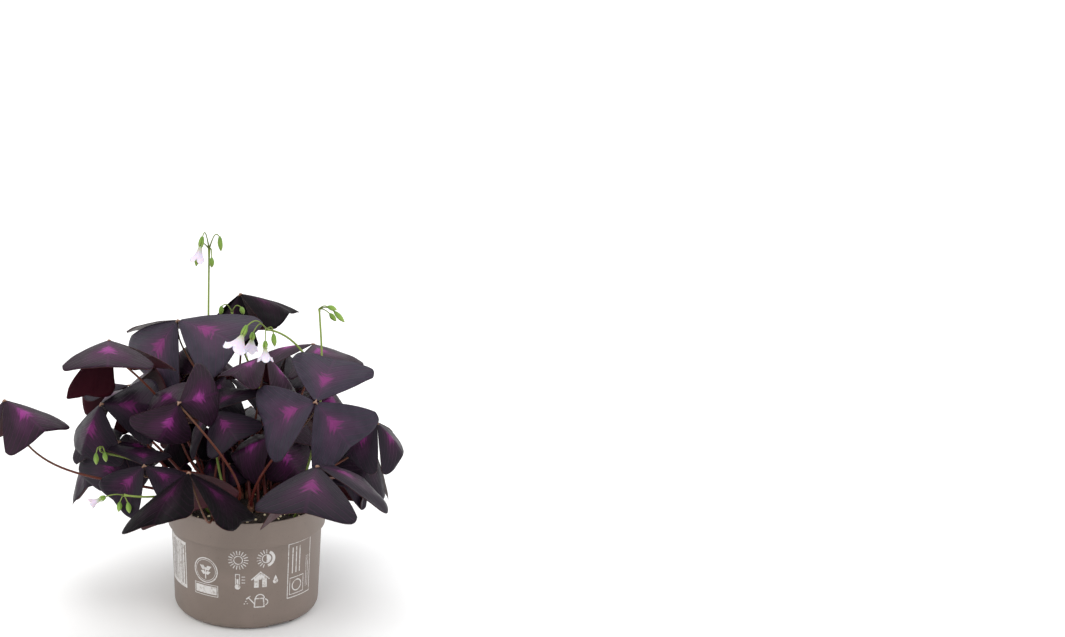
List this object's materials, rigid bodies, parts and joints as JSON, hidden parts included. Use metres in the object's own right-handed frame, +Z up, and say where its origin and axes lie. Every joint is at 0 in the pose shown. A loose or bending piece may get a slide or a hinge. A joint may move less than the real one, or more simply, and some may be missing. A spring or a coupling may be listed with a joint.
{
  "type": "purple shamrock in a nursery pot",
  "caption": "Potted purple shamrock: drooping three-part dark purple leaves on thin arching stems, pale lilac flowers and a taupe nursery pot.",
  "frame": {"origin": "centre of the pot's flat foot, on the plane it stands on", "axes": "+Z up, -Y towards the front of the plant, +X to the right seen from the front"},
  "size_m": [0.3198, 0.3048, 0.2716],
  "materials": {
    "corolla_front_1": "satin",
    "corolla_front_2": "satin",
    "corolla_front_3": "satin",
    "corolla_low_1": "satin",
    "corolla_tall_2": "satin",
    "flower_stalk_back": "satin",
    "flower_stalk_front": "satin",
    "flower_stalk_left": "satin",
    "flower_stalk_low": "satin",
    "flower_stalk_right": "satin",
    "flower_stalk_tall": "satin",
    "growing_medium": "matte",
    "leaf_01": "satin",
    "leaf_02": "satin",
    "leaf_03": "satin",
    "leaf_04": "satin",
    "leaf_05": "satin",
    "leaf_06": "satin",
    "leaf_07": "satin",
    "leaf_08": "satin",
    "leaf_09": "satin",
    "leaf_10": "satin",
    "leaf_11": "satin",
    "leaf_12": "satin",
    "leaf_13": "satin",
    "leaf_14": "satin",
    "leaf_15": "satin",
    "leaf_16": "satin",
    "leaf_17": "satin",
    "leaf_18": "satin",
    "leaf_19": "satin",
    "leaf_20": "satin",
    "leaf_21": "satin",
    "leaf_22": "satin",
    "leaf_23": "satin",
    "leaf_24": "satin",
    "leaf_25": "satin",
    "leaf_26": "satin",
    "leaf_27": "satin",
    "leaf_28": "satin",
    "leaf_29": "satin",
    "leaf_30": "satin",
    "nursery_pot": "matte",
    "rhizome_stems_a": "satin",
    "rhizome_stems_b": "satin",
    "rhizome_stems_c": "satin",
    "rhizome_stems_d": "satin",
    "rhizome_stems_e": "satin"
  },
  "bodies": {
    "root": {"corolla_front_1": "corolla_front_1", "corolla_front_2": "corolla_front_2", "corolla_front_3": "corolla_front_3", "corolla_low_1": "corolla_low_1", "corolla_tall_2": "corolla_tall_2", "flower_stalk_back": "flower_stalk_back", "flower_stalk_front": "flower_stalk_front", "flower_stalk_left": "flower_stalk_left", "flower_stalk_low": "flower_stalk_low", "flower_stalk_right": "flower_stalk_right", "flower_stalk_tall": "flower_stalk_tall", "growing_medium": "growing_medium", "leaf_01": "leaf_01", "leaf_02": "leaf_02", "leaf_03": "leaf_03", "leaf_04": "leaf_04", "leaf_05": "leaf_05", "leaf_06": "leaf_06", "leaf_07": "leaf_07", "leaf_08": "leaf_08", "leaf_09": "leaf_09", "leaf_10": "leaf_10", "leaf_11": "leaf_11", "leaf_12": "leaf_12", "leaf_13": "leaf_13", "leaf_14": "leaf_14", "leaf_15": "leaf_15", "leaf_16": "leaf_16", "leaf_17": "leaf_17", "leaf_18": "leaf_18", "leaf_19": "leaf_19", "leaf_20": "leaf_20", "leaf_21": "leaf_21", "leaf_22": "leaf_22", "leaf_23": "leaf_23", "leaf_24": "leaf_24", "leaf_25": "leaf_25", "leaf_26": "leaf_26", "leaf_27": "leaf_27", "leaf_28": "leaf_28", "leaf_29": "leaf_29", "leaf_30": "leaf_30", "nursery_pot": "nursery_pot", "rhizome_stems_a": "rhizome_stems_a", "rhizome_stems_b": "rhizome_stems_b", "rhizome_stems_c": "rhizome_stems_c", "rhizome_stems_d": "rhizome_stems_d", "rhizome_stems_e": "rhizome_stems_e"}
  },
  "joints": []
}
